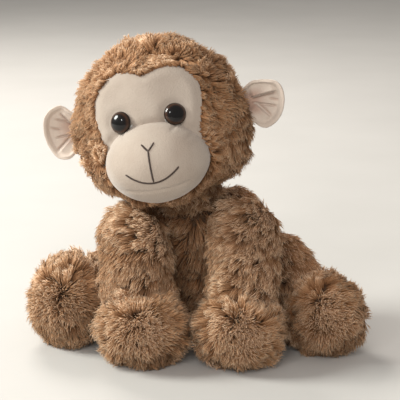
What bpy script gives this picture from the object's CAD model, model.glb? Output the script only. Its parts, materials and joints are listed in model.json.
"""The looks of a seated plush monkey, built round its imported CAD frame.

It faces -Y and sits on z = 0, in metres. Its left is +X. Every stuffed part is a dark knitted
backing, puffed out between its seams, that carries a coat of modelled locks of pile. The face,
muzzle and ears are short-pile cloth, the eyes are glossy domes, and the nose and mouth are
rows of thread.
"""

import json
import math

import bmesh
import bpy
import numpy as np
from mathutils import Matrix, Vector
from mathutils.bvhtree import BVHTree
from mathutils.kdtree import KDTree


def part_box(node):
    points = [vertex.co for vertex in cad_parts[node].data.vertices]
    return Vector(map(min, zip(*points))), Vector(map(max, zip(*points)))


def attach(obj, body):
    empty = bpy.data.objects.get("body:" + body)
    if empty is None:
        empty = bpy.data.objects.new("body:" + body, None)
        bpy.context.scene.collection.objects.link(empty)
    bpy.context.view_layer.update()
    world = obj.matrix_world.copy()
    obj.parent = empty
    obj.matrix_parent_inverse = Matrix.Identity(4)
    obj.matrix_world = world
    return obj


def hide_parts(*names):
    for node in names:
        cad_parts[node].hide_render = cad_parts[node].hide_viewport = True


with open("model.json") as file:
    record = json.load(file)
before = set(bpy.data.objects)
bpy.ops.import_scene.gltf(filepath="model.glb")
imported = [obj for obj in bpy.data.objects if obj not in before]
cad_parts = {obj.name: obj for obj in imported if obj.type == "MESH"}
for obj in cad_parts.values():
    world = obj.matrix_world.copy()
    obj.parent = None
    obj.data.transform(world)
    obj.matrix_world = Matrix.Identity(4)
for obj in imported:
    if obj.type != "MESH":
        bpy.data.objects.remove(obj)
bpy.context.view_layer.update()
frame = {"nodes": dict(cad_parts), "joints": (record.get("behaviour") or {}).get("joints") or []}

MM = 0.001
UP = np.array((0.0, 0.0, 1.0))
SIDES = {"left": 1.0, "right": -1.0}
CAST_FROM, CAST_LENGTH = -0.15, 0.16  # a ray from in front of the face, in metres
joints = {joint["name"]: joint for joint in frame["joints"]}


# -------- numbers


def unit(rows):
    """Each row at length one."""
    rows = np.asarray(rows, float)
    return rows / np.maximum(np.linalg.norm(rows, axis=-1, keepdims=True), 1e-12)


def ramp(value, low, high):
    """0 below low, 1 above high, and smooth between."""
    t = np.clip((np.asarray(value, float) - low) / (high - low), 0, 1)
    return t * t * (3 - 2 * t)


def blob(points, centre, radius):
    """1 at centre, falling smoothly to nothing over about two radii."""
    return bell(np.linalg.norm(np.asarray(points) - np.asarray(centre), axis=1), radius)


def bell(value, width):
    """1 at 0, falling smoothly to nothing over about two widths."""
    return np.exp(-((value / width) ** 2))


def noise(points, scale, seed):
    """Smooth random values from -1 to 1 that change over about scale metres."""
    place = np.asarray(points, float) / scale + 19.7 * seed
    cell = np.floor(place).astype(np.int64)
    part = place - cell
    part = part * part * (3 - 2 * part)
    total = np.zeros(len(place))
    for corner in np.ndindex(2, 2, 2):
        at = cell + np.array(corner)
        mixed = (at[:, 0] * 73856093) ^ (at[:, 1] * 19349663) ^ (at[:, 2] * 83492791)
        mixed = (mixed ^ (seed * 2654435761)) & 0xFFFFFFFF
        mixed = ((mixed ^ (mixed >> 15)) * 2246822519) & 0xFFFFFFFF
        mixed = ((mixed ^ (mixed >> 13)) * 3266489917) & 0xFFFFFFFF
        value = (mixed ^ (mixed >> 16)) / 2**31 - 1.0
        share = np.where(np.array(corner) == 1, part, 1 - part).prod(axis=1)
        total += share * value
    return total


def noise_vectors(points, scale, seed):
    return np.stack([noise(points, scale, seed + k) for k in range(3)], axis=1)


def along_surface(vectors, normals):
    """The part of each vector that lies in the surface, at length one."""
    vectors = np.asarray(vectors, float)
    return unit(vectors - (vectors * normals).sum(axis=1, keepdims=True) * normals)


# -------- meshes


def new_object(name, data):
    made = bpy.data.objects.new(name, data)
    bpy.context.scene.collection.objects.link(made)
    return made


def shade_smooth(mesh):
    mesh.polygons.foreach_set("use_smooth", [True] * len(mesh.polygons))
    mesh.update()


def mesh_object(name, points, faces):
    mesh = bpy.data.meshes.new(name)
    mesh.from_pydata([tuple(p) for p in points], [], faces)
    shade_smooth(mesh)
    return new_object(name, mesh)


def object_from(made, name):
    """An object from a bmesh, which is freed."""
    mesh = bpy.data.meshes.new(name)
    made.to_mesh(mesh)
    made.free()
    return new_object(name, mesh)


def coords(obj):
    flat = np.empty(len(obj.data.vertices) * 3, np.float32)
    obj.data.vertices.foreach_get("co", flat)
    return flat.reshape(-1, 3).astype(float)


def set_coords(obj, points):
    obj.data.vertices.foreach_set("co", np.asarray(points, np.float32).ravel())
    obj.data.update()


def point_values(obj, name, values):
    """Stores a number at each vertex, for a material to read."""
    layer = obj.data.attributes.new(name, "FLOAT", "POINT")
    layer.data.foreach_set("value", np.asarray(values, np.float32))


def vertex_normals(obj):
    flat = np.empty(len(obj.data.vertices) * 3, np.float32)
    obj.data.vertex_normals.foreach_get("vector", flat)
    return flat.reshape(-1, 3).astype(float)


def bake_modifiers(obj):
    """The object's mesh becomes what its modifiers make of it."""
    bpy.context.view_layer.update()
    graph = bpy.context.evaluated_depsgraph_get()
    mesh = bpy.data.meshes.new_from_object(obj.evaluated_get(graph), depsgraph=graph)
    obj.modifiers.clear()
    old, obj.data = obj.data, mesh
    bpy.data.meshes.remove(old)
    return obj


def smooth(obj, repeat):
    soften = obj.modifiers.new("soften", "SMOOTH")
    soften.factor = 0.5
    soften.iterations = repeat
    return bake_modifiers(obj)


def node_points(*names):
    return np.concatenate([coords(frame["nodes"][name]) for name in names])


def keep_largest(obj):
    """Drops every loose part but the one with most vertices."""
    made = bmesh.new()
    made.from_mesh(obj.data)
    seen, best = set(), []
    for start in made.verts:
        if start in seen:
            continue
        part = [start]
        seen.add(start)
        for vert in part:  # which grows as it is walked
            fresh = {edge.other_vert(vert) for edge in vert.link_edges} - seen
            seen |= fresh
            part += fresh
        if len(part) > len(best):
            best = part
    kept = set(best)
    bmesh.ops.delete(made, geom=[v for v in made.verts if v not in kept], context="VERTS")
    made.to_mesh(obj.data)
    made.free()


VOXEL = 3.0 * MM
HULL_POINTS = 5000
EVEN_PASSES = 6


def even_out(obj, voxel):
    remesh = obj.modifiers.new("even", "REMESH")
    remesh.mode = "VOXEL"
    remesh.voxel_size = voxel
    bake_modifiers(obj)
    keep_largest(obj)
    return smooth(obj, EVEN_PASSES)


def hull_form(name, nodes):
    """An even mesh of the convex form round some CAD nodes."""
    points = node_points(*nodes)
    step = max(1, len(points) // HULL_POINTS)
    made = bmesh.new()
    for point in points[::step]:
        made.verts.new(point)
    hull = bmesh.ops.convex_hull(made, input=made.verts)
    unused = [g for g in hull["geom_interior"] if isinstance(g, bmesh.types.BMVert)]
    bmesh.ops.delete(made, geom=unused, context="VERTS")
    return even_out(object_from(made, name), VOXEL)


def joined_form(name, nodes, voxel=VOXEL):
    """An even mesh of the outside of some nested CAD nodes, with its hollows for the limbs."""
    made = bmesh.new()
    for node in nodes:
        made.from_mesh(frame["nodes"][node].data)
    return even_out(object_from(made, name), voxel)


def pull_in(obj, depth):
    """Moves the surface in by depth, which may differ from point to point."""
    depth = np.broadcast_to(depth, len(obj.data.vertices))
    set_coords(obj, coords(obj) - vertex_normals(obj) * depth[:, None])


def tree(obj):
    graph = bpy.context.evaluated_depsgraph_get()
    bpy.context.view_layer.update()
    return BVHTree.FromObject(obj, graph)


# -------- materials


SHEEN_ROUGHNESS, COAT_ROUGHNESS = 0.45, 0.04


def material(name, roughness, sheen=0.0, coat=0.0, specular=0.5):
    made = bpy.data.materials.new(name)
    made.use_nodes = True
    shader = made.node_tree.nodes["Principled BSDF"]
    shader.inputs["Roughness"].default_value = roughness
    shader.inputs["Sheen Weight"].default_value = sheen
    shader.inputs["Sheen Roughness"].default_value = SHEEN_ROUGHNESS
    shader.inputs["Coat Weight"].default_value = coat
    shader.inputs["Coat Roughness"].default_value = COAT_ROUGHNESS
    shader.inputs["Specular IOR Level"].default_value = specular
    return made, made.node_tree, shader


def color_ramp(nodes, stops):
    """A ramp node with (position, colour) stops."""
    made = nodes.new("ShaderNodeValToRGB")
    elements = made.color_ramp.elements
    for place, _ in stops[2:]:
        elements.new(place)
    for element, (place, shade) in zip(elements, sorted(stops)):
        element.position = place
        element.color = (*shade, 1.0)
    return made


def multiply(net, a, b, factor=1.0):
    """The product of two colours. Each input is a socket or a value."""
    made = net.nodes.new("ShaderNodeMix")
    made.data_type = "RGBA"
    made.blend_type = "MULTIPLY"
    for socket, value in (("A", a), ("B", b), ("Factor", factor)):
        if isinstance(value, bpy.types.NodeSocket):
            net.links.new(value, made.inputs[socket])
        else:
            made.inputs[socket].default_value = value
    return made.outputs["Result"]


def value_node(net, name):
    """What point_values stored under a name."""
    made = net.nodes.new("ShaderNodeAttribute")
    made.attribute_name = name
    return made.outputs["Fac"]


def noise_node(net, scale, detail=3.0):
    place = net.nodes.new("ShaderNodeTexCoord")
    made = net.nodes.new("ShaderNodeTexNoise")
    made.inputs["Scale"].default_value = scale
    made.inputs["Detail"].default_value = detail
    net.links.new(place.outputs["Object"], made.inputs["Vector"])
    return made


def bump_node(net, shader, height, strength, distance):
    made = net.nodes.new("ShaderNodeBump")
    made.inputs["Strength"].default_value = strength
    made.inputs["Distance"].default_value = distance
    net.links.new(height, made.inputs["Height"])
    net.links.new(made.outputs["Normal"], shader.inputs["Normal"])


# Where a noise's values turn into the first to the last of two or three colours.
SPREAD = {2: (0.3, 0.7), 3: (0.25, 0.55, 0.8)}


def mottled(
    name, shades, scale, bump_scale, bump, depth, roughness, sheen=0.0, stain=None, specular=0.5
):
    """A cloth or plastic whose colour wanders between shades and whose surface has a fine grain.

    It is darkened by the stain's colour where the mesh's stain values say so."""
    made, net, shader = material(name, roughness, sheen, specular=specular)
    patches = noise_node(net, scale)
    shade = color_ramp(net.nodes, tuple(zip(SPREAD[len(shades)], shades)))
    net.links.new(patches.outputs["Fac"], shade.inputs["Fac"])
    color = shade.outputs["Color"]
    if stain is not None:
        color = multiply(net, color, (*stain, 1.0), value_node(net, "stain"))
    net.links.new(color, shader.inputs["Base Color"])
    grain = noise_node(net, bump_scale, 4.0)
    bump_node(net, shader, grain.outputs["Fac"], bump, depth)
    return made


def velour(name, shades, stain=None):
    return mottled(
        name, shades, 45, 1000, 0.8, 0.45 * MM, 0.85, sheen=0.35, stain=stain, specular=0.2
    )


PILE_STOPS = (
    (0.00, (0.080, 0.034, 0.015)),
    (0.32, (0.228, 0.104, 0.045)),
    (0.64, (0.476, 0.270, 0.142)),
    (1.00, (1.000, 0.780, 0.570)),
)
STRAND_STOPS = (
    (0.0, (0.50, 0.45, 0.40)),
    (0.5, (0.90, 0.88, 0.86)),
    (1.0, (1.18, 1.18, 1.20)),
)


def pile_material():
    """Root to tip along v, and from dark to light strands along u."""
    made, net, shader = material("pile", 0.75, 0.12, specular=0.15)
    shader.inputs["Sheen Tint"].default_value = (1.0, 0.82, 0.62, 1.0)
    nodes, links = net.nodes, net.links
    along = nodes.new("ShaderNodeUVMap")
    along.uv_map = "OFBake"
    split = nodes.new("ShaderNodeSeparateXYZ")
    links.new(along.outputs["UV"], split.inputs["Vector"])
    length = color_ramp(nodes, PILE_STOPS)
    strand = color_ramp(nodes, STRAND_STOPS)
    links.new(split.outputs["Y"], length.inputs["Fac"])
    links.new(split.outputs["X"], strand.inputs["Fac"])
    both = multiply(net, length.outputs["Color"], strand.outputs["Color"])
    links.new(both, shader.inputs["Base Color"])
    return made


PILE = pile_material()
BACKING = mottled(
    "knitted_backing", ((0.060, 0.029, 0.014), (0.120, 0.064, 0.034)), 60, 900, 0.6, 0.6 * MM, 0.9,
)
VELOUR = velour(
    "face_velour", ((0.356, 0.291, 0.239), (0.397, 0.333, 0.278), (0.422, 0.359, 0.303))
)
BROW_VELOUR = velour(
    "brow_velour", ((0.322, 0.264, 0.217), (0.359, 0.301, 0.252), (0.382, 0.325, 0.275))
)
EAR_VELOUR = velour(
    "ear_velour", ((0.500, 0.418, 0.350), (0.555, 0.470, 0.400), (0.590, 0.505, 0.436)),
    stain=(0.66, 0.46, 0.40),
)
THREAD = mottled(
    "embroidery_thread", ((0.030, 0.017, 0.011), (0.060, 0.035, 0.024)),
    400, 2500, 0.4, 0.15 * MM, 0.45, 0.2,
)
WASHER = mottled(
    "washer_plastic", ((0.62, 0.62, 0.60), (0.70, 0.70, 0.68)), 90, 1500, 0.2, 0.1 * MM, 0.4,
)
POST = mottled(
    "post_plastic", ((0.014, 0.013, 0.013), (0.024, 0.022, 0.021)), 90, 1500, 0.2, 0.1 * MM, 0.3,
)
RIBBON = mottled(
    "label_ribbon", ((0.74, 0.72, 0.68), (0.80, 0.78, 0.74)), 120, 2600, 0.5, 0.12 * MM, 0.4, 0.2,
)


def dress(obj, made, body, slot, *nodes):
    """Gives a piece its material, the body it rides on, its slot and the CAD nodes it shows."""
    obj.data.materials.clear()
    obj.data.materials.append(made)
    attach(obj, body)
    if nodes:
        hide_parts(*nodes)
    return obj


# -------- head frame

ear_from, ear_to = (np.array(joints[f"ear_{word}_bend"]["pos_m"]) for word in ("right", "left"))
HEAD_X = unit(ear_to - ear_from)
HEAD_Z = unit(np.array(joints["ear_left_bend"]["axis"]))
HEAD_Y = np.cross(HEAD_Z, HEAD_X)
HEAD_AXES = np.stack([HEAD_X, HEAD_Y, HEAD_Z])
EAR_BACK, EAR_UP = 3.0 * MM, 5.5 * MM
HEAD_CENTRE = (ear_from + ear_to) / 2 - EAR_BACK * HEAD_Y - EAR_UP * HEAD_Z


def to_head(points):
    return (np.asarray(points) - HEAD_CENTRE) @ HEAD_AXES.T


def from_head(points):
    return np.asarray(points) @ HEAD_AXES + HEAD_CENTRE


head_form = hull_form("head_cover", ["head_skin", "face_panel"])
pull_in(head_form, -0.5 * MM)
egg = tree(head_form)


class Outline:
    """The distance to the outline of some nodes seen from the front of the head, below 0 inside."""

    def __init__(self, *nodes):
        self.step, half = 1.0 * MM, 80  # a square grid of cells, this many each way
        self.low, side = -half * self.step, 2 * half + 1
        line = self.low + self.step * np.arange(side)
        u, w = np.meshgrid(line, line, indexing="ij")
        starts = from_head(np.stack([u.ravel(), np.full(u.size, CAST_FROM), w.ravel()], axis=1))
        back = Vector(HEAD_Y)
        inside = np.zeros(u.size, bool)
        for node in nodes:
            target = tree(frame["nodes"][node])
            hits = [target.ray_cast(Vector(p), back, CAST_LENGTH)[0] is not None for p in starts]
            inside |= np.array(hits)
        mask = inside.reshape(u.shape)
        flat = np.stack([u.ravel(), w.ravel()], axis=1)
        edge = np.zeros_like(mask)
        inner = mask[1:-1, 1:-1]
        edge[1:-1, 1:-1] = (inner != mask[2:, 1:-1]) | (inner != mask[1:-1, 2:])
        rim = flat[edge.ravel()] + self.step / 2
        kd = KDTree(len(rim))
        for i, (a, b) in enumerate(rim):
            kd.insert((a, b, 0), i)
        kd.balance()
        away = np.array([kd.find((a, b, 0))[2] for a, b in flat])
        self.field = f = np.where(inside, -away, away).reshape(u.shape)
        for _ in range(2):  # rounds off the grid's steps
            f[1:-1, 1:-1] = (
                f[1:-1, 1:-1] * 2 + f[2:, 1:-1] + f[:-2, 1:-1] + f[1:-1, 2:] + f[1:-1, :-2]
            ) / 6

    def __call__(self, u, w):
        a = np.clip((np.asarray(u) - self.low) / self.step, 0, self.field.shape[0] - 1.001)
        b = np.clip((np.asarray(w) - self.low) / self.step, 0, self.field.shape[1] - 1.001)
        i, j = a.astype(int), b.astype(int)
        a, b = a - i, b - j
        f = self.field
        return (
            f[i, j] * (1 - a) * (1 - b) + f[i + 1, j] * a * (1 - b)
            + f[i, j + 1] * (1 - a) * b + f[i + 1, j + 1] * a * b
        )

    def fill(self, u, w, radius, height):
        """Lets the outline out round one place."""
        line = self.low + self.step * np.arange(len(self.field))
        self.field -= height * bell(np.hypot(line[:, None] - u, line[None, :] - w), radius)

    def slope(self, u, w):
        """The unit direction in which the distance grows."""
        d = self.step
        du = self(u + d, w) - self(u - d, w)
        dw = self(u, w + d) - self(u, w - d)
        return unit(np.stack([du, dw], axis=1))


panel_outline = Outline("face_panel", "eye_left_dome", "eye_right_dome", "muzzle_skin")
panel_outline.fill(0.0, 33 * MM, 6 * MM, 2.6 * MM)
muzzle_outline = Outline("muzzle_skin")


# -------- soft covers


LUMP_HEIGHT, LUMP_SIZE = 0.9 * MM, 16 * MM
PUFF_PRESSURE, PUFF_FRAMES = 4.0, 20
MOST_SWELL = 2.0 * MM
SEAM_HALF = 2.0 * MM


def lumps(obj, seed):
    """Uneven filling under the cloth."""
    points = coords(obj)
    rise = noise(points, LUMP_SIZE, seed) + 0.5 * noise(points, LUMP_SIZE / 2, seed + 7)
    set_coords(obj, points + vertex_normals(obj) * (LUMP_HEIGHT * rise)[:, None])


def middle_of(points):
    """The middle of some points' box."""
    return (points.max(axis=0) + points.min(axis=0)) / 2


def puff(covers):
    """Inflates covers as cloth pinned along their seams, all at once.

    covers is a list of (object, the direction across its seam)."""
    scene = bpy.context.scene
    scene.frame_start, scene.frame_end = 1, PUFF_FRAMES
    rest = []
    for obj, across in covers:
        points = coords(obj)
        rest.append((points, vertex_normals(obj)))
        seam = np.abs((points - middle_of(points)) @ unit(across)) < SEAM_HALF
        group = obj.vertex_groups.new(name="seam")
        group.add([int(i) for i in np.nonzero(seam)[0]], 1.0, "REPLACE")
        cloth = obj.modifiers.new("puff", "CLOTH")
        cloth.settings.vertex_group_mass = "seam"
        cloth.settings.use_pressure = True
        cloth.settings.uniform_pressure_force = PUFF_PRESSURE
        cloth.settings.effector_weights.gravity = 0
        cloth.settings.quality = 5
        cloth.point_cache.frame_start, cloth.point_cache.frame_end = 1, PUFF_FRAMES
    for step in range(1, PUFF_FRAMES + 1):
        scene.frame_set(step)
    for (obj, _), (points, normals) in zip(covers, rest):
        bake_modifiers(obj)
        # Only the swelling counts, so the cloth never folds through itself.
        swell = ((coords(obj) - points) * normals).sum(axis=1)
        obj.vertex_groups.clear()
        set_coords(obj, points + normals * np.clip(swell, 0, MOST_SWELL)[:, None])
        smooth(obj, 2)
    scene.frame_set(1)


def bulge(obj, places):
    """Pushes the surface out round some places: (centre, radius, height)."""
    points, normals = coords(obj), vertex_normals(obj)
    rise = sum(height * blob(points, centre, radius) for centre, radius, height in places)
    set_coords(obj, points + normals * rise[:, None])


PILE_DEPTH = 5.0 * MM
LEAST_HEIGHT = 1.5 * MM  # of a cover over the floor
LEG_LEAST_HEIGHT, LEG_DROP = 5 * MM, 0.35

# The head: fuller low in the cheeks, and nearer the surface round the face.
bulge(head_form, [
    (from_head((0.050, -0.004, -0.033)), 26 * MM, 5.5 * MM),
    (from_head((-0.049, -0.004, -0.030)), 24 * MM, 3.0 * MM),
    (from_head((-0.026, -0.030, -0.044)), 21 * MM, 4.5 * MM),
    (from_head((0.008, -0.030, -0.047)), 21 * MM, 4.5 * MM),
])
local = to_head(coords(head_form))
ahead = ramp(-local[:, 1], 0, 15 * MM)
to_face = panel_outline(local[:, 0], local[:, 2])
near_face = ahead * (1 - ramp(to_face, 0, 14 * MM))
under_face = ahead * ramp(-to_face, 0, 5 * MM)
pull_in(head_form, PILE_DEPTH + 1.6 * MM - 4.6 * MM * near_face + 6.5 * MM * under_face)

torso = joined_form("torso_cover", ["torso_skin", "torso_stuffing", "seat_pellet_pouch"])
bulge(torso, [((0.034, -0.006, 0.094), 22 * MM, 14 * MM), ((-0.030, -0.012, 0.096), 15 * MM, 4 * MM)])
pull_in(torso, PILE_DEPTH)
neck = hull_form("neck_cover", ["neck_skin"])
bulge(neck, [((0.014, -0.010, 0.112), 16 * MM, 9 * MM), ((-0.030, -0.014, 0.110), 14 * MM, 4 * MM)])
pull_in(neck, 2 * MM)
tail = joined_form("tail_cover", ["tail_skin", "tail_stuffing"], 2.0 * MM)
pull_in(tail, 3 * MM)
limbs = {}
for word in SIDES:
    for part in ("arm", "paw", "leg", "foot"):
        made = hull_form(f"{part}_{word}_cover", [f"{part}_{word}_skin"])
        if part == "leg":
            # Its lower half sags towards the floor.
            points = coords(made)
            low = np.clip(middle_of(points)[2] - points[:, 2], 0, None)
            points[:, 2] = np.maximum(points[:, 2] - low * LEG_DROP, LEG_LEAST_HEIGHT)
            set_coords(made, points)
        pull_in(made, PILE_DEPTH)
        limbs[part, word] = made

covers = [head_form, torso, neck, tail, *limbs.values()]
puff([(head_form, HEAD_X)] + [(made, (1, 0, 0)) for made in (torso, *limbs.values())])
for seed, made in enumerate(covers):
    lumps(made, seed + 40)
    points = coords(made)
    points[:, 2] = np.maximum(points[:, 2], LEAST_HEIGHT)
    set_coords(made, points)
    shade_smooth(made.data)


# -------- pile


def scatter(obj, count, rng, keep):
    """count points on a surface, evenly by area, where keep(points, normals) is true."""
    points, normals = coords(obj), vertex_normals(obj)
    obj.data.calc_loop_triangles()
    tris = np.empty(len(obj.data.loop_triangles) * 3, np.int32)
    obj.data.loop_triangles.foreach_get("vertices", tris)
    tris = tris.reshape(-1, 3)
    a, b, c = (points[tris[:, k]] for k in range(3))
    area = np.linalg.norm(np.cross(b - a, c - a), axis=1)
    found, facing, total = [], [], 0
    for _ in range(12):
        pick = rng.choice(len(tris), size=count, p=area / area.sum())
        s, t = rng.random((2, count))
        flip = s + t > 1
        s, t = np.where(flip, 1 - s, s), np.where(flip, 1 - t, t)
        share = np.stack([1 - s - t, s, t], axis=1)[:, :, None]
        place = (points[tris[pick]] * share).sum(axis=1)
        normal = unit((normals[tris[pick]] * share).sum(axis=1))
        kept = keep(place, normal)
        found.append(place[kept])
        facing.append(normal[kept])
        total += int(kept.sum())
        if total >= count:
            break
    return np.concatenate(found)[:count], np.concatenate(facing)[:count]


def strand_mesh(name, rings, radii, shade):
    """Closed three-sided spikes. rings is (levels, strands, 3), and the last level is the tip."""
    levels, count = rings.shape[:2]
    body = levels - 1
    points = np.empty((count, body * 3 + 1, 3))
    for level in range(body):
        ahead = unit(rings[level + 1] - rings[level])
        aside = unit(np.cross(ahead, [[0.37, 0.81, -0.45]]))
        other = np.cross(ahead, aside)
        for k in range(3):
            turn = 2 * math.pi * k / 3 + 0.5 * level
            spoke = aside * math.cos(turn) + other * math.sin(turn)
            points[:, level * 3 + k] = rings[level] + spoke * radii[level][:, None]
    points[:, -1] = rings[-1]
    points[:, :, 2] = np.maximum(points[:, :, 2], 0.3 * MM)
    faces, heights = [[0, 2, 1]], [[0, 0, 0]]
    for level in range(body - 1):
        for k in range(3):
            a, b = level * 3 + k, level * 3 + (k + 1) % 3
            faces.append([a, b, b + 3, a + 3])
            heights.append([level, level, level + 1, level + 1])
    for k in range(3):
        a, b = (body - 1) * 3 + k, (body - 1) * 3 + (k + 1) % 3
        faces.append([a, b, body * 3])
        heights.append([body - 1, body - 1, body])
    corners = np.concatenate([np.array(f) for f in faces])
    v = np.concatenate([np.array(h) for h in heights]) / body
    starts = np.cumsum([0] + [len(f) for f in faces[:-1]])
    each = points.shape[1]
    index = (corners[None, :] + each * np.arange(count)[:, None]).ravel()
    loop_starts = (starts[None, :] + len(corners) * np.arange(count)[:, None]).ravel()
    mesh = bpy.data.meshes.new(name)
    mesh.vertices.add(count * each)
    mesh.loops.add(len(index))
    mesh.polygons.add(len(loop_starts))
    mesh.vertices.foreach_set("co", points.astype(np.float32).ravel())
    mesh.loops.foreach_set("vertex_index", index.astype(np.int32))
    mesh.polygons.foreach_set("loop_start", loop_starts.astype(np.int32))
    mesh.polygons.foreach_set("use_smooth", np.ones(len(loop_starts), bool))
    layer = mesh.uv_layers.new(name="OFBake")
    uv = np.empty((count, len(corners), 2), np.float32)
    uv[:, :, 0] = np.clip(shade, 0.01, 0.99)[:, None]
    uv[:, :, 1] = np.clip(v, 0.01, 0.99)[None, :]
    layer.data.foreach_set("uv", uv.ravel())
    mesh.update(calc_edges=True)
    return mesh


WISP_SPACING, LOCK_SPACING = 2.9 * MM, 9.0 * MM
STRAND_WIDTH = 0.54 * MM
ROOT_DEPTH = 0.6 * MM
# The least and most of what varies from lock to lock, and from strand to strand, as shares.
GATHER, PULL, LOOSE, REACH, GIRTH = (0.15, 0.50), (0.1, 0.60), (0.04, 0.30), (0.75, 1.1), (0.75, 1.25)
MOST_STRANDS = 12000  # in one piece


def everywhere(points, normals=None):
    return np.ones(len(points), bool)


def nowhere(points):
    return np.zeros(len(points), bool)


def nearest_of(points, among, count, rng):
    """count members of among, picked at random, and which of them each point is nearest to."""
    picked = rng.choice(len(among), size=min(max(count, 4), len(among)), replace=False)
    kd = KDTree(len(picked))
    for i, c in enumerate(picked):
        kd.insert(among[c], i)
    kd.balance()
    wobble = points + rng.normal(0, 0.5 * MM, points.shape)
    return picked, np.array([kd.find(p)[1] for p in wobble])


def coat(
    cover, name, body, count, length, comb, seed, keep=everywhere, trim=everywhere,
    drop=nowhere, whorl=nowhere, tone=0.0, lift=0.5, swirl=0.9, width=STRAND_WIDTH,
):
    """Grows locks of pile on a cover, in as many pieces as they need.

    comb(points, normals) is the way the pile is brushed, keep says where it grows, trim shortens
    it, drop says where no strand may pass, whorl where it stands up, and tone lightens it."""
    rng = np.random.default_rng(seed)
    roots, normals = scatter(cover, count, rng, lambda p, n: keep(p, n) & seat_clear(p, n))
    count = len(roots)
    brushed = along_surface(comb(roots, normals), normals)
    # Wisps of a few strands each, which lean together and gather into wider locks.
    area = sum(polygon.area for polygon in cover.data.polygons)
    centres, member = nearest_of(roots, roots, int(area / WISP_SPACING**2), rng)
    facing, centre = normals[centres], roots[centres]
    locks, group = nearest_of(centre, centre, int(area / LOCK_SPACING**2), rng)
    whirl = 1.3 * noise_vectors(centre, 24 * MM, seed) + 0.8 * noise_vectors(centre, 9 * MM, seed + 3)
    flow = along_surface(brushed[centres] + swirl * whirl, facing)
    uneven = noise(centre, 9 * MM, seed + 5)
    rise = lift + 0.24 * uneven + 0.10 * rng.normal(size=len(centres)) + 0.55 * whorl(centre)
    rise = np.clip(rise, 0.15, 0.97)[:, None]
    long = length * (1 + 0.20 * uneven + rng.uniform(-0.14, 0.14, len(centres)))[:, None]
    lean = unit(facing * rise + flow * np.sqrt(1 - rise**2))
    gather = (centre[locks[group]] - centre) * rng.uniform(*GATHER, len(centres))[:, None]
    gather *= 1 - 0.95 * whorl(centre)[:, None]
    wisp_shade = 0.52 + 0.11 * rng.normal(size=len(centres)) + 0.10 * uneven
    wisp_shade += (tone(centre) if callable(tone) else tone) + 0.06 * whorl(centre)
    # Strands: a bend that lies over towards the tip, drawn in to the wisp's middle.
    out = roots - centre[member]
    upright = whorl(roots)[:, None]
    pull = rng.uniform(*PULL, count)[:, None] * (1 - 0.85 * upright)
    reach = long[member] * rng.uniform(*REACH, count)[:, None] * trim(roots)[:, None]
    stray = unit(rng.normal(size=(count, 3)))
    loose = rng.uniform(*LOOSE, count)[:, None] + 0.42 * upright
    way = unit(lean[member] + loose * stray)
    tips = roots + way * reach - out * pull + gather[member] - UP * reach * 0.10
    stand = unit(normals + 0.35 * way)
    curl = np.cross(way, normals) * rng.choice([-1.0, 1.0], len(centres))[member][:, None]
    middle = roots + stand * reach * 0.40 + (tips - roots) * 0.24 + curl * reach * 0.10
    start = roots - normals * ROOT_DEPTH
    stays = ~drop(tips) & ~drop(middle)
    start, middle, tips = start[stays], middle[stays], tips[stays]
    member, roots = member[stays], roots[stays]
    count = len(start)
    thick = width * rng.uniform(*GIRTH, count) * 0.5
    shade = wisp_shade[member] + 0.12 * rng.normal(size=count)
    shade += 0.12 * noise(roots, 22 * MM, seed + 11)
    near = start * 0.30 + middle * 0.70
    beyond = middle * 0.42 + tips * 0.58
    rings = np.stack([start, near, beyond, tips])
    radii = [thick * 1.0, thick * 1.05, thick * 0.75]
    parts = math.ceil(count / MOST_STRANDS)
    for part in range(parts):
        pick = slice(part, None, parts)
        label = name if parts == 1 else f"{name}_{part + 1}"
        mesh = strand_mesh(label, rings[:, pick], [r[pick] for r in radii], shade[pick])
        dress(new_object(label, mesh), PILE, body, "fur")


def seat_clear(points, normals):
    """No pile is grown flat under what rests on the floor."""
    return ~((points[:, 2] < 4 * MM) & (normals[:, 2] < -0.55))


def constant(vector):
    return lambda points, normals: np.broadcast_to(np.array(vector, float), points.shape)


def away_from(centre, pole, seed):
    """Brushed out from the point of a form that faces along pole, ragged near that point.

    Gives the comb, and how near its middle a point is."""
    centre, pole = np.array(centre), unit(np.array(pole, float))

    def across(points):
        out = points - centre
        high = out @ pole
        flat = out - high[:, None] * pole
        return flat, np.linalg.norm(flat, axis=1), high

    def comb(points, normals):
        flat, far, _ = across(points)
        ragged = noise_vectors(points, 12 * MM, seed)
        share = 0.9 * ramp(far, 0, 22 * MM)[:, None]
        return share * unit(flat) + (1.0 - share) * ragged - 0.15 * UP

    def nearness(points):
        _, far, high = across(points)
        return (1 - ramp(far, 6 * MM, 17 * MM)) * ramp(high, 0, 10 * MM)

    return comb, nearness


def head_comb(points, normals):
    """Away from the face in front, and backwards behind it."""
    u, v, w = to_head(points).T
    out = panel_outline.slope(u, w)
    from_face = out[:, :1] * HEAD_X + out[:, 1:] * HEAD_Z
    front = ramp(-v, -5 * MM, 25 * MM)[:, None]
    return front * from_face + (1 - front) * 0.7 * HEAD_Y - 0.35 * UP


def inside_seam(w):
    """How far inside the face's outline the pile's edge lies: more beside the muzzle."""
    return 0.6 * MM + 1.6 * MM * ramp(-w, 2 * MM, 12 * MM)


def head_keep(points, normals):
    u, v, w = to_head(points).T
    return (v > -4 * MM) | (panel_outline(u, w) > -inside_seam(w))


def head_trim(points):
    """Half as long beside the face, and whole everywhere behind the ears."""
    u, v, w = to_head(points).T
    away = panel_outline(u, w) + np.where(v > 0, 1.0, 0.0)
    return 0.50 + 0.50 * ramp(away, 0, 13 * MM)


def over_face(points):
    u, v, w = to_head(points).T
    return (v < -10 * MM) & (panel_outline(u, w) < -2.0 * MM - inside_seam(w))


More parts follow.
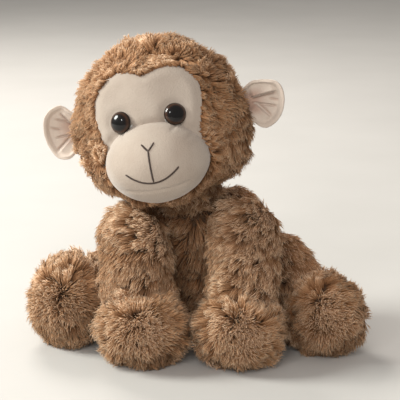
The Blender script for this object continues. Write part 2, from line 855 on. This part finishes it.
def torso_comb(points, normals):
    """Down the belly, and outwards over the shoulders."""
    high = ramp(points[:, 2], 75 * MM, 95 * MM)[:, None]
    outward = np.sign(points[:, :1]) * np.array((1.0, 0, 0))
    return np.array((0, -0.2, -1.0)) + 0.9 * high * outward


def torso_tone(points):
    """Darker low in the belly, between the arms."""
    return -0.12 + 0.24 * ramp(points[:, 2], 75 * MM, 98 * MM)


FARTHEST_HIT = 20 * MM


def clear_of(others, margin):
    """True where a point is no deeper than the margin in any of some closed forms."""
    trees = [tree(other) for other in others]

    def keep(points, normals):
        free = np.ones(len(points), bool)
        for i, point in enumerate(points):
            spot = Vector(point)
            for other in trees:
                hit, normal, _, away = other.find_nearest(spot)
                if away < FARTHEST_HIT and (spot - hit).dot(normal) < -margin:
                    free[i] = False
                    break
        return free
    return keep


def cover_body(obj, body, fill, *inside):
    """The backing of a stuffed part, which stands for its skin and what is inside it."""
    nodes = [f"{body}_{node}" for node in ("skin", *inside)]
    if body == "torso":
        nodes = ["torso_skin", "torso_stuffing", "seat_pellet_pouch"]
    dress(obj, BACKING, body, "fur", *nodes)


cover_body(head_form, "head", 0.9, "stuffing")
cover_body(torso, "torso", 0.75)
cover_body(neck, "neck", 0.7, "stuffing")
cover_body(tail, "tail", 0.7, "stuffing")
coat(
    head_form, "head_pile", "head", 72000, 10.0 * MM, head_comb, 1, head_keep, head_trim, over_face,
    lift=0.48, swirl=0.95,
)
coat(
    torso, "torso_pile", "torso", 24000, 12 * MM, torso_comb, 2,
    clear_of(list(limbs.values()), 6 * MM), tone=torso_tone,
)
coat(neck, "neck_pile", "neck", 6500, 10 * MM, constant((0.3, -0.2, -1)), 3, tone=0.02)
coat(tail, "tail_pile", "tail", 8000, 8 * MM, constant((0.4, 0.4, -0.4)), 4, width=0.5 * MM)

# Each limb: its fill, strands, their length and tone, and what is inside.
LIMBS = {
    "arm": (0.75, 21000, 12 * MM, 0.0, ("stuffing",)),
    "paw": (0.85, 20000, 12.5 * MM, 0.04, ("stuffing", "pellet_pouch")),
    "leg": (0.75, 16000, 12 * MM, 0.34, ("stuffing",)),
    "foot": (0.85, 19000, 12.5 * MM, 0.05, ("stuffing", "pellet_pouch")),
}
for seed, ((part, word), made) in enumerate(limbs.items(), 10):
    side = SIDES[word]
    fill, count, long, tone, inside = LIMBS[part]
    cover_body(made, f"{part}_{word}", fill, *inside)
    middle = middle_of(coords(made))
    comb, whorl = {
        "arm": (constant((-0.8, -0.15, -0.6)), nowhere),
        "paw": away_from(middle, (0.12, -1, 0.22), seed),
        "leg": (constant((0.5 * side, -0.2, -0.8)), nowhere),
        "foot": away_from(middle, (0.14 * side, -1, 0.20), seed),
    }[part]
    coat(
        made, f"{part}_{word}_pile", f"{part}_{word}", count, long, comb, seed,
        whorl=whorl, tone=tone, swirl=0.7,
    )


# -------- face


def eye_frame(word):
    """The middle of an eye's dome, the way it faces, its radius, and where it begins and ends."""
    dome = node_points(f"eye_{word}_dome")
    middle = dome.mean(axis=0)
    facing = unit(middle - middle_of(node_points(f"eye_{word}_washer")))
    high = (dome - middle) @ facing
    across = (dome - middle) - high[:, None] * facing
    return middle, facing, np.linalg.norm(across, axis=1).max(), high.min(), high.max()


EYES = {word: eye_frame(word) for word in SIDES}


def solidify(obj, thickness, offset=-1):
    shell = obj.modifiers.new("thickness", "SOLIDIFY")
    shell.thickness = thickness
    shell.offset = offset
    bake_modifiers(obj)


# The face panel's grid, how far it reaches under the pile, how deep it dips at its edge, at the
# muzzle's seam and round the eyes, and how thick it is.
PANEL_STEP, PANEL_HALF, PANEL_MIDDLE = 1.25 * MM, 48, 12 * MM
PANEL_EDGE = 2.2 * MM
PANEL_RISE, EDGE_DIP, SEAM_DIP, EYE_DIP = 0.4 * MM, 1.6 * MM, 1.0 * MM, 1.3 * MM
PANEL_THICKNESS = 1.6 * MM


def face_panel():
    """The short-pile panel, sunk a little at its seams and round the eyes."""
    line = PANEL_STEP * np.arange(-PANEL_HALF, PANEL_HALF + 1)
    u, w = (g.ravel() for g in np.meshgrid(line, line + PANEL_MIDDLE, indexing="ij"))
    inside = panel_outline(u, w) < PANEL_EDGE + PANEL_STEP
    for _ in range(3):  # draws the outer points in to a smooth edge
        over = np.clip(panel_outline(u, w) - PANEL_EDGE, 0, None)
        slope = panel_outline.slope(u, w)
        u, w = u - over * slope[:, 0], w - over * slope[:, 1]
    starts = from_head(np.stack([u, np.full(u.size, CAST_FROM), w], axis=1))
    number, points, faces = {}, [], []
    for i in np.nonzero(inside)[0]:
        hit, normal = egg.ray_cast(Vector(starts[i]), Vector(HEAD_Y), CAST_LENGTH)[:2]
        if hit is None:
            continue
        number[i] = len(points)
        points.append([*hit, *normal])
    rows = 2 * PANEL_HALF + 1
    for i in range(rows - 1):
        for j in range(rows - 1):
            quad = (i * rows + j, (i + 1) * rows + j, (i + 1) * rows + j + 1, i * rows + j + 1)
            if all(q in number for q in quad):
                faces.append([number[q] for q in quad])
    points = np.array(points)
    place, normal = points[:, :3], points[:, 3:]
    u, _, w = to_head(place).T
    rise = PANEL_RISE - EDGE_DIP * ramp(panel_outline(u, w), -5 * MM, 1.5 * MM)
    rise -= SEAM_DIP * bell(muzzle_outline(u, w), 2.4 * MM)
    for middle, facing, radius, *_ in EYES.values():
        ring = np.linalg.norm(np.cross(place - middle, facing), axis=1) - radius
        rise -= EYE_DIP * bell(ring, 3.0 * MM)
    rise += 0.35 * MM * noise(place, 13 * MM, 5)
    made = mesh_object("face_cloth", place + normal * rise[:, None], faces)
    if made.data.polygons[0].normal.dot(Vector(HEAD_Y)) > 0:
        made.data.flip_normals()
    solidify(made, PANEL_THICKNESS)
    return smooth(made, 2)


dress(face_panel(), BROW_VELOUR, "head", "velour", "face_panel")

MUZZLE = np.array((0.0, -42.0, -19.5)) * MM
MUZZLE_RADII = np.array((35.4, 32.0, 28.8)) * MM
MUZZLE_BACK = -36.0 * MM
CHIN_SEAM, CHIN_CURVE, CHIN_DEPTH = -17.5 * MM, 5.0, 0.75 * MM
# Its gathers: bearing in degrees from the top, and depth in mm.
GATHERS = ((38, 0.9), (-40, 0.8), (62, 0.5), (-66, 0.5))


def muzzle_form():
    """A stuffed dome, tucked in along its seam, with a dart under the mouth."""
    made = bmesh.new()
    bmesh.ops.create_icosphere(made, subdivisions=6, radius=1.0)
    obj = object_from(made, "muzzle_cover")
    ball = unit(coords(obj))
    at = ball * MUZZLE_RADII
    rel_u, rel_w = at[:, 0], at[:, 2]
    # A little squarer than an ellipsoid low in the cheeks, as a stuffed panel is.
    at *= (1 + 0.015 * bell(rel_w + 8 * MM, 12 * MM) * ball[:, 0] ** 2)[:, None]
    groove = bell(rel_w - CHIN_SEAM - CHIN_CURVE * rel_u**2, 0.9 * MM)
    dip = CHIN_DEPTH * groove * (1 - ramp(abs(rel_u), 18 * MM, 27 * MM))
    for turn, depth in GATHERS:
        way = math.sin(math.radians(turn)), math.cos(math.radians(turn))
        radial = rel_u * way[0] / MUZZLE_RADII[0] + rel_w * way[1] / MUZZLE_RADII[2]
        aside = rel_u * way[1] - rel_w * way[0]
        dip += depth * MM * bell(aside, 1.1 * MM) * ramp(radial, 0.72, 0.95)
    dip -= 0.35 * MM * noise(at, 11 * MM, 9)
    at += MUZZLE
    at -= unit(ball / MUZZLE_RADII) * dip[:, None]
    at[:, 1] = np.minimum(at[:, 1], MUZZLE_BACK)
    set_coords(obj, from_head(at))
    shade_smooth(obj.data)
    return obj


muzzle = muzzle_form()
dress(muzzle, VELOUR, "head", "velour", "muzzle_skin", "muzzle_stuffing")
muzzle_tree = tree(muzzle)


def on_muzzle(u, w):
    """The muzzle's surface in front of a place given from its middle, and the way it faces."""
    start = from_head(np.array((u, CAST_FROM, MUZZLE[2] + w)))
    hit, normal = muzzle_tree.ray_cast(Vector(start), Vector(HEAD_Y), CAST_LENGTH)[:2]
    return np.array(hit), np.array(normal)


STITCH_PITCH, STITCH_HALF, THREAD_RADIUS = 0.5 * MM, 0.8 * MM, 0.3 * MM
STITCH_ARCH, STITCH_SUNK = 0.45 * MM, 0.05 * MM
STITCH_SIDES, STITCH_RINGS = 6, (-1.0, -0.6, 0.0, 0.6, 1.0)


def tube_faces(base, rings, sides):
    """Quads between rings of points, counted from base."""
    faces = []
    for ring in range(rings - 1):
        for k in range(sides):
            a, b = base + ring * sides + k, base + ring * sides + (k + 1) % sides
            faces.append([a, b, b + sides, a + sides])
    return faces


def stitch_rows(name, lines, node):
    """Satin stitch: short slanting threads side by side along each line."""
    points, faces = [], []
    for line in lines:
        spots = [on_muzzle(u, w) for u, w in line]
        places = np.array([s[0] for s in spots])
        steps = np.linalg.norm(np.diff(places, axis=0), axis=1)
        far = np.concatenate([[0], np.cumsum(steps)])
        count = max(2, int(far[-1] / STITCH_PITCH))
        for d in np.linspace(0, far[-1], count):
            place = np.array([np.interp(d, far, places[:, k]) for k in range(3)])
            i = min(np.searchsorted(far, d, "right") - 1, len(places) - 2)
            ahead = unit(places[i + 1] - places[i])
            normal = spots[i][1]
            aside = unit(np.cross(normal, ahead) + 0.45 * ahead)
            end = min(1.0, 0.45 + min(d, far[-1] - d) / (1.2 * MM))
            base = len(points)
            for share in STITCH_RINGS:
                arch = STITCH_ARCH * (1 - share**2) - STITCH_SUNK
                middle = place + aside * STITCH_HALF * end * share + normal * arch
                thin = THREAD_RADIUS * math.sqrt(max(0.05, 1 - 0.8 * share**4))
                for k in range(STITCH_SIDES):
                    turn = 2 * math.pi * k / STITCH_SIDES
                    out = ahead * math.cos(turn) + normal * math.sin(turn)
                    points.append(middle + out * thin)
            faces += tube_faces(base, len(STITCH_RINGS), STITCH_SIDES)
            faces.append(list(range(base, base + STITCH_SIDES))[::-1])
            faces.append(list(range(len(points) - STITCH_SIDES, len(points))))
    dress(mesh_object(name, np.array(points), faces), THREAD, "head", "thread", node)


SMILE_HALF, SMILE_LOW, SMILE_RISE = 18 * MM, -11.5 * MM, 8 * MM
NOSE_LOW, NOSE_HIGH, FORK = -10.4 * MM, 10 * MM, (4.2 * MM, 4.8 * MM)


def smile(share):
    return SMILE_HALF * share, SMILE_LOW + SMILE_RISE * share**2


def fork(side):
    """One of the two short lines at the top of the nose."""
    return [(side * FORK[0] * s, NOSE_HIGH + FORK[1] * s) for s in np.linspace(0, 1, 7)]


stitch_rows("mouth_thread", [[smile(s) for s in np.linspace(-1, 1, 41)]], "mouth_stitching")
stitch_rows(
    "nose_thread",
    [[(0.0, w) for w in np.linspace(NOSE_LOW, NOSE_HIGH, 21)], fork(-1), fork(1)],
    "nose_stitching",
)


def eye_material():
    """Brown round a black pupil, under a clear coat."""
    made, net, shader = material("eye_gloss", 0.3, coat=0.65, specular=0.1)
    shade = color_ramp(net.nodes, (
        (0.00, (0.003, 0.003, 0.003)), (0.64, (0.004, 0.003, 0.003)),
        (0.73, (0.018, 0.008, 0.005)), (0.86, (0.058, 0.024, 0.012)),
        (0.94, (0.018, 0.008, 0.004)), (1.00, (0.004, 0.003, 0.002)),
    ))
    net.links.new(value_node(net, "ring"), shade.inputs["Fac"])
    grain = noise_node(net, 700, 2.0)
    color = multiply(net, shade.outputs["Color"], grain.outputs["Color"], 0.5)
    net.links.new(color, shader.inputs["Base Color"])
    return made


EYE = eye_material()
EYE_SIDES, EYE_RINGS = 64, 15
# A dome's foot: radius and height as shares of the eye's, and then its round top from there.
EYE_FOOT = ((0.90, -0.10), (0.985, 0.0), (1.0, 0.06), (0.992, 0.13), (0.965, 0.17))


def eye(word):
    middle, facing, radius, low, high = EYES[word]
    aside = unit(np.cross(facing, UP))
    other = np.cross(aside, facing)
    profile = list(EYE_FOOT)
    foot, first = profile[-1][0], math.asin(profile[-1][1])
    for turn in np.linspace(first, math.pi / 2, EYE_RINGS + 1)[1:-1]:
        profile.append((foot / math.cos(first) * math.cos(turn), math.sin(turn)))
    points, ring = [], []
    for r, h in profile:
        for k in range(EYE_SIDES):
            turn = 2 * math.pi * k / EYE_SIDES
            spoke = aside * math.cos(turn) + other * math.sin(turn)
            points.append(middle + facing * (low + (high - low) * h) + spoke * radius * r)
            ring.append(r)
    faces = tube_faces(0, len(profile), EYE_SIDES)
    last = len(points) - EYE_SIDES
    points.append(middle + facing * high)
    ring.append(0.0)
    for k in range(EYE_SIDES):
        faces.append([last + k, last + (k + 1) % EYE_SIDES, len(points) - 1])
    faces.append(list(range(EYE_SIDES))[::-1])
    made = mesh_object(f"eye_{word}_gloss", points, faces)
    point_values(made, "ring", ring)
    made.data.polygons[len(faces) - 1].use_smooth = False
    dress(made, EYE, "head", "eye_brown", f"eye_{word}_dome")


for word in SIDES:
    eye(word)
    for part, made in (("post", POST), ("washer", WASHER)):
        node = frame["nodes"][f"eye_{word}_{part}"]
        node.data.materials.clear()
        node.data.materials.append(made)


# -------- ears

EAR_REACH, EAR_CUP = 4.0 * MM, 44.0 * MM
EAR_BASE = -5.0 * MM
EAR_RINGS, EAR_SPOKES = 40, 160
EAR_THICKNESS, EAR_GAP = 1.1 * MM, 1.9 * MM
# How dark an ear is near its base, and in its folds.
BASE_STAIN, FOLD_STAIN = 0.75, 0.5
EAR_SIDE = np.linalg.norm(ear_to - ear_from) / 2
# An ear's outline: bearing in degrees and radius in mm, from its middle.
EAR_OUTLINE = {
    "left": (
        (-140, 15.5), (-97, 16.2), (-73, 19.6), (-55, 20.0), (-40, 20.2), (-14, 20.4), (10, 21.4),
        (24, 21.8), (36, 21.0), (56, 17.4), (75, 15.4), (97, 15.2), (140, 15.0),
    ),
    "right": (
        (-140, 16.0), (-96, 17.6), (-83, 18.9), (-69, 19.7), (-57, 19.7), (-34, 17.9), (-8, 17.2),
        (16, 17.8), (41, 19.8), (59, 20.3), (83, 20.0), (100, 18.0), (140, 16.0),
    ),
}
# Its folds: where each begins and ends, in mm from its base, how high it stands, and which side.
EAR_FLAPS = {
    "left": ((2.5, 3.8, 19.5, 5.4, 3.6, 1), (4.3, -2.0, 13.1, -12.0, 3.2, -1)),
    "right": ((0.5, 5.6, 7.3, 14.6, 3.0, 1), (2.5, -4.0, 14.4, -12.7, 3.4, -1)),
}
EAR_CREASES = {
    "left": ((2.5, -0.9, 18.5, -5.2, 1.9), (14.5, 0.8, 21.5, -1.4, 0.9)),
    "right": ((2.5, 6.8, 12.7, 10.4, 1.6), (10.5, 2.5, 16.9, 4.9, 1.2), (3.7, -2.6, 14.2, -2.7, 1.7)),
}


def beside(u, w, line):
    """How far points lie to the left of a line, and a share that fades out at its ends."""
    u0, w0, u1, w1 = (MM * v for v in line)
    long = math.hypot(u1 - u0, w1 - w0)
    ahead = ((u1 - u0) / long, (w1 - w0) / long)
    along = (u - u0) * ahead[0] + (w - w0) * ahead[1]
    off = (w - w0) * ahead[0] - (u - u0) * ahead[1]
    return off, ramp(along, -2 * MM, 1.5 * MM) * (1 - ramp(along, long - 3 * MM, long + 1.5 * MM))


def ear_folds(word, u, w):
    """How far the folds of an ear stand out to the front, and how deep in a fold a point lies."""
    rise, deep = np.zeros(len(u)), np.zeros(len(u))
    for *line, height, side in EAR_FLAPS[word]:
        off, share = beside(u, w, line)
        off = off * side
        up = ramp(off, -0.3 * MM, 0.7 * MM) * np.exp(-np.clip(off, 0, None) / (9 * MM))
        under = bell(off + 0.9 * MM, 1.0 * MM)
        rise += height * MM * share * (up - 0.6 * under)
        deep = np.maximum(deep, share * under)
    for *line, height in EAR_CREASES[word]:
        off, share = beside(u, w, line)
        groove = bell(off, 0.8 * MM)
        rise -= 1.3 * height * MM * share * (groove - 0.3 * bell(off, 2.6 * MM))
        deep = np.maximum(deep, share * groove)
    return rise, deep


def ear_layer(word, side, tag, back):
    """One cupped layer of an ear, folded where it is gathered into its base."""
    turn = np.arange(EAR_SPOKES) * 360.0 / EAR_SPOKES
    wide = MM * np.interp(turn, *zip(*EAR_OUTLINE[word]), period=360)
    share = np.repeat(np.arange(EAR_RINGS + 1) / EAR_RINGS, EAR_SPOKES)
    radius = share * np.tile(wide, EAR_RINGS + 1)
    bearing = np.radians(np.tile(turn, EAR_RINGS + 1))
    faces = tube_faces(0, EAR_RINGS + 1, EAR_SPOKES)
    u = np.maximum(radius * np.cos(bearing) + EAR_REACH, EAR_BASE)
    w = radius * np.sin(bearing)
    # The base draws together inside the pile.
    narrow = 1 - 0.25 * (1 - ramp(u, EAR_BASE, 7 * MM))
    depth = -EAR_CUP + np.sqrt(EAR_CUP**2 - radius**2)
    edge = ramp(share, 0.80, 0.92)
    rise, deep = ear_folds(word, u, w)
    rim = 1 - ramp(share, 0.88, 0.99)
    front = depth + 1.6 * MM * (1 - edge) - 0.4 * MM * edge - rise * rim
    if back:
        # The back passes behind the deepest of the front's folds.
        domed = depth * 0.9 + 0.7 * MM + 2.1 * MM * (1 - share**4)
        depth = np.maximum(domed, front + EAR_GAP * rim)
    else:
        depth = front
    depth += 0.3 * MM * noise(np.stack([u, depth, w], axis=1), 9 * MM, 21 + int(back))
    at = np.stack([side * (EAR_SIDE + u), EAR_BACK + depth, EAR_UP + w * narrow], axis=1)
    if side > 0:
        faces = [f[::-1] for f in faces]
    made = mesh_object(f"ear_{word}_{tag}_cloth", from_head(at), faces)
    if not back:
        stain = BASE_STAIN * (1 - ramp(u, 2 * MM, 15 * MM)) * (1 - ramp(abs(w), 5 * MM, 12 * MM))
        point_values(made, "stain", np.maximum(stain, FOLD_STAIN * deep * rim))
    weld = made.modifiers.new("weld", "WELD")
    weld.merge_threshold = 0.02 * MM
    solidify(made, EAR_THICKNESS, 1 if back else -1)
    smooth(made, 1)
    dress(made, EAR_VELOUR, f"ear_{word}", "velour", f"ear_{word}_{tag}")


for word, side in SIDES.items():
    ear_layer(word, side, "front", False)
    ear_layer(word, side, "back", True)


# -------- label


def label():
    """A slightly bent ribbon in the back seam, left blank."""
    low, high = (np.array(c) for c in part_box("sewn_in_label"))
    size = high - low
    thin = int(np.argmin(size))
    wide, long = [k for k in range(3) if k != thin]
    rows, columns = 14, 12
    points, faces = [], []
    for i in range(rows + 1):
        for j in range(columns + 1):
            at = low.copy()
            at[long] += size[long] * i / rows
            at[wide] += size[wide] * j / columns
            bend = math.sin(math.pi * j / columns) * math.sin(math.pi * i / rows)
            at[thin] += size[thin] * (0.5 + 0.8 * bend)
            points.append(at)
    for i in range(rows):
        for j in range(columns):
            a = i * (columns + 1) + j
            faces.append([a, a + 1, a + columns + 2, a + columns + 1])
    made = mesh_object("label_ribbon", points, faces)
    solidify(made, 0.5 * MM)
    dress(made, RIBBON, "torso", "label", "sewn_in_label")


label()


# -------- floor, light, camera


LIGHTS_AIM = (0.0, -0.01, 0.10)
CAMERA_AIM = (0.0022, -0.014, 0.1016)
FLOOR_HALF = 9.0


def aimed(name, data, place, aim):
    made = new_object(name, data)
    made.location = place
    made.rotation_mode = "QUATERNION"
    made.rotation_quaternion = (Vector(aim) - Vector(place)).to_track_quat("-Z", "Y")
    return made


corners = [(x * FLOOR_HALF, y * FLOOR_HALF, 0) for x, y in ((-1, -1), (1, -1), (1, 1), (-1, 1))]
floor = mesh_object("floor", corners, [[0, 1, 2, 3]])
floor.data.materials.append(mottled(
    "floor_paper", ((0.500, 0.487, 0.466), (0.525, 0.511, 0.490)), 8, 300, 0.1, 0.3 * MM, 0.8,
))
for name, place, size, power, shade in (
    ("key", (-1.30, -0.25, 0.95), 0.7, 33, (0.97, 0.99, 0.94)),
    ("front", (-0.05, -1.70, 0.90), 1.3, 17.5, (1.0, 0.955, 0.915)),
    ("rim", (-0.60, 1.05, 1.05), 0.7, 16, (1.0, 0.95, 0.89)),
    ("catch", (-0.50, -1.20, 0.85), 0.16, 2.2, (1.0, 1.0, 1.0)),
):
    light = bpy.data.lights.new(name, "AREA")
    light.shape = "DISK"
    light.size = size
    light.energy = power
    light.color = shade
    aimed(name, light, place, LIGHTS_AIM).visible_glossy = name != "front"
world = bpy.data.worlds.new("studio")
bpy.context.scene.world = world
world.use_nodes = True
sky = world.node_tree.nodes["Background"]
sky.inputs["Color"].default_value = (1.0, 0.945, 0.89, 1)
sky.inputs["Strength"].default_value = 0.41
bpy.context.scene.view_settings.view_transform = "Standard"

camera = aimed("camera", bpy.data.cameras.new("camera"), (0.1111, -1.0707, 0.3747), CAMERA_AIM)
camera.data.sensor_width = 36
camera.data.lens = 136.2
bpy.context.scene.camera = camera
